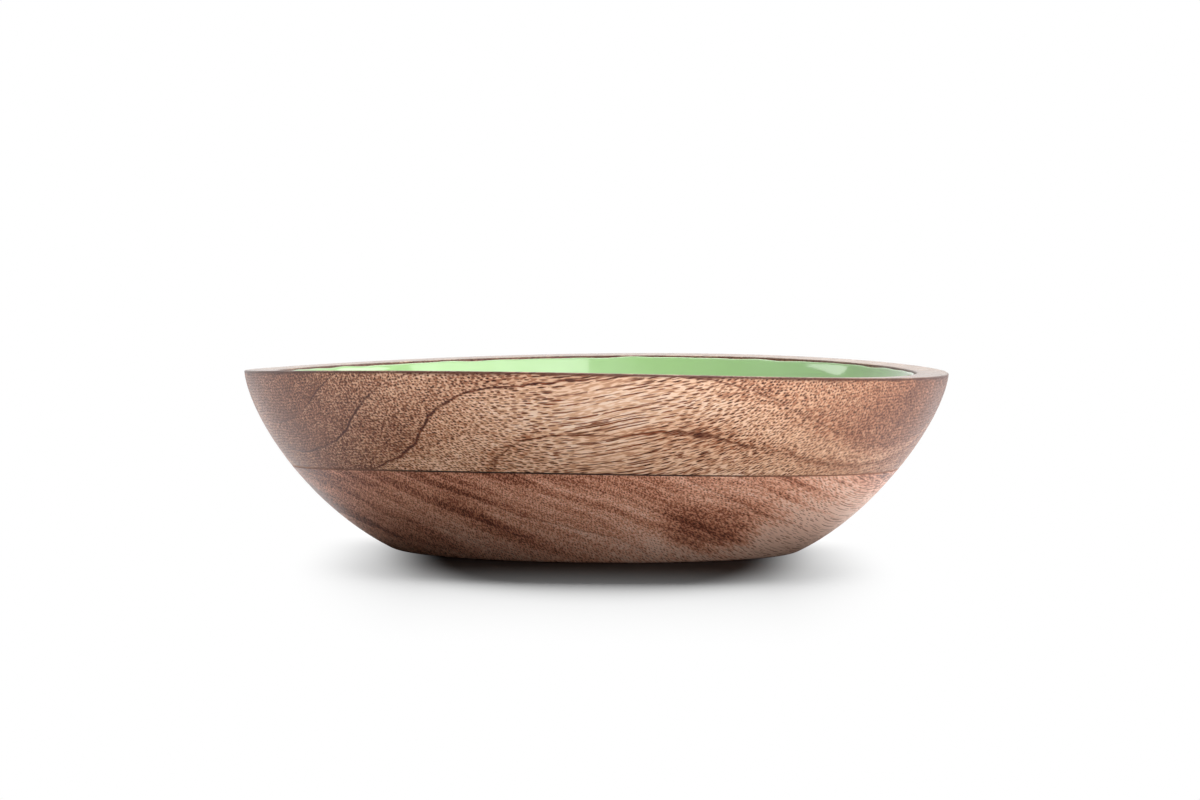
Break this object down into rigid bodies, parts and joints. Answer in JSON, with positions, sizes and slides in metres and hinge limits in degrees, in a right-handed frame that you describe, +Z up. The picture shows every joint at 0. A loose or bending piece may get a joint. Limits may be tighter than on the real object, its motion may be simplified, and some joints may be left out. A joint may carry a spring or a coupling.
{
  "type": "wooden serving bowl",
  "caption": "Wide, shallow turned wooden serving bowl of two boards glued face to face, with a flat foot, a broad rim and a glossy green enamel lining.",
  "frame": {"origin": "centre of the standing face, on the turning axis", "axes": "+Z up along the turning axis, X along the grain of the upper board, so its end grain faces -X and +X, and -Y to the front"},
  "size_m": [0.25, 0.25, 0.067],
  "materials": {
    "base_wood": "satin lacquered dark brown hardwood, fine pores",
    "joint_glue": "thin dark brown adhesive film",
    "rim_wood": "satin lacquered light brown hardwood, open pores and dark growth lines",
    "green_enamel": "glossy pale green enamel coat"
  },
  "bodies": {
    "root": {"base_board": "base_wood", "glue_film": "joint_glue", "rim_board": "rim_wood", "enamel_lining": "green_enamel"}
  },
  "joints": []
}
